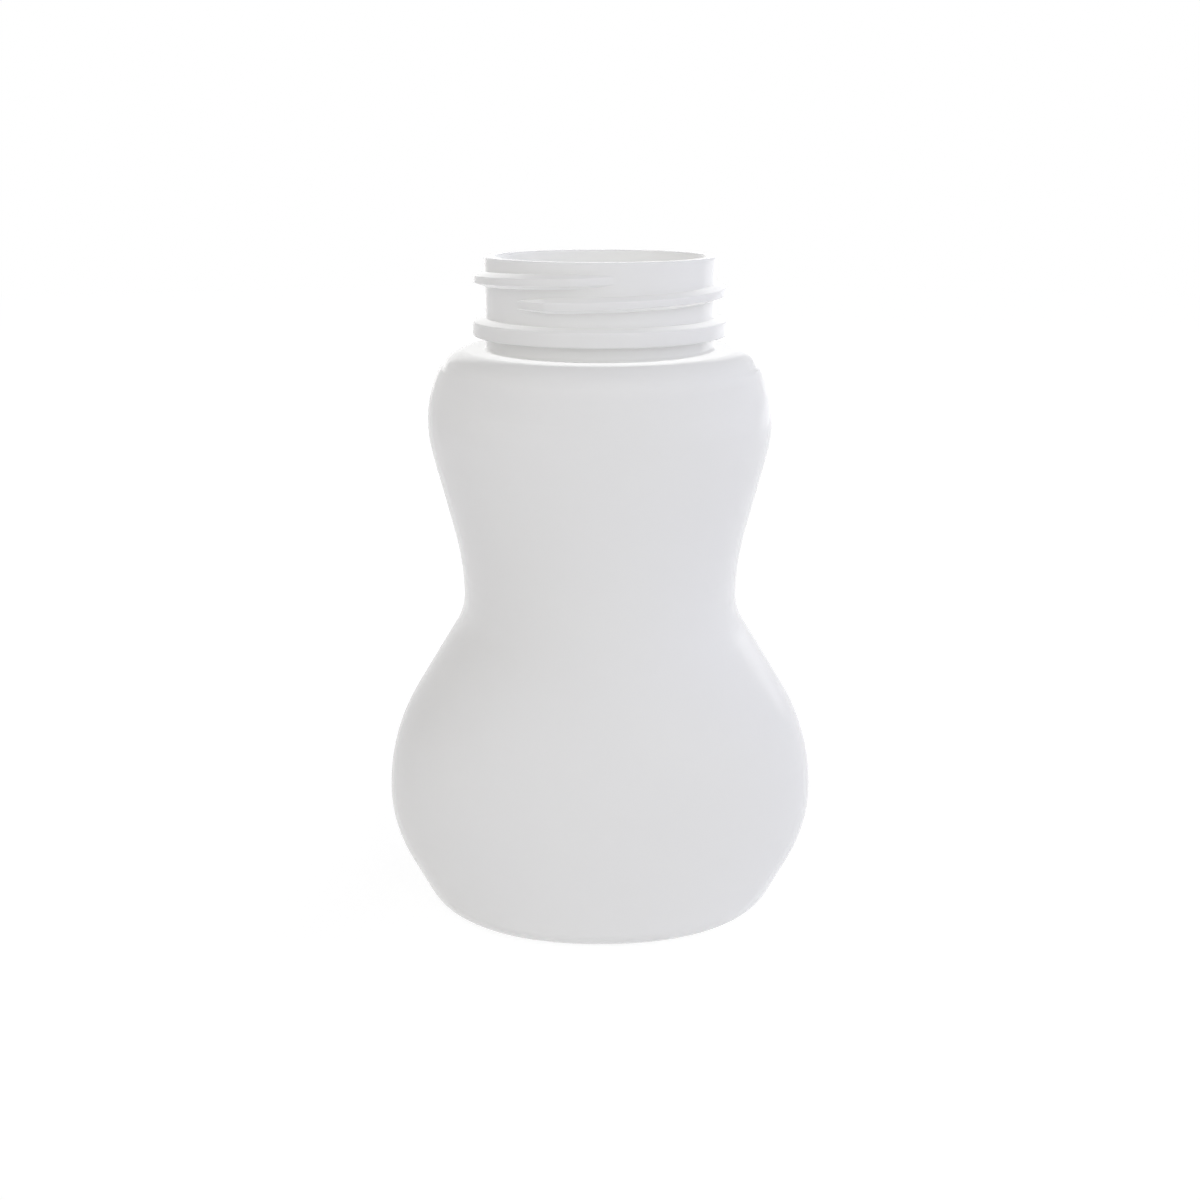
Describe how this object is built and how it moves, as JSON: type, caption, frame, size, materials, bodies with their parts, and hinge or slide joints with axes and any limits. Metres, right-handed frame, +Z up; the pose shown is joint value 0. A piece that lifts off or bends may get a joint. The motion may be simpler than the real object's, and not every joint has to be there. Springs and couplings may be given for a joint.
{
  "type": "gourd-shaped bottle with wide screw neck",
  "caption": "Hollow moulded bottle, gourd-shaped from the front and straight-sided in depth, with a round shoulder, a beaded screw neck and an open mouth",
  "frame": {"origin": "middle of the base, on the plane that the bottle stands on", "axes": "+Z up along the axis of the neck, +X across the wide gourd outline to the right of the front, -Y towards the front"},
  "size_m": [0.0824, 0.0564, 0.1225],
  "materials": {
    "bottle": "satin white polyethylene, moulded"
  },
  "bodies": {
    "root": {"bottle": "bottle"}
  },
  "joints": []
}
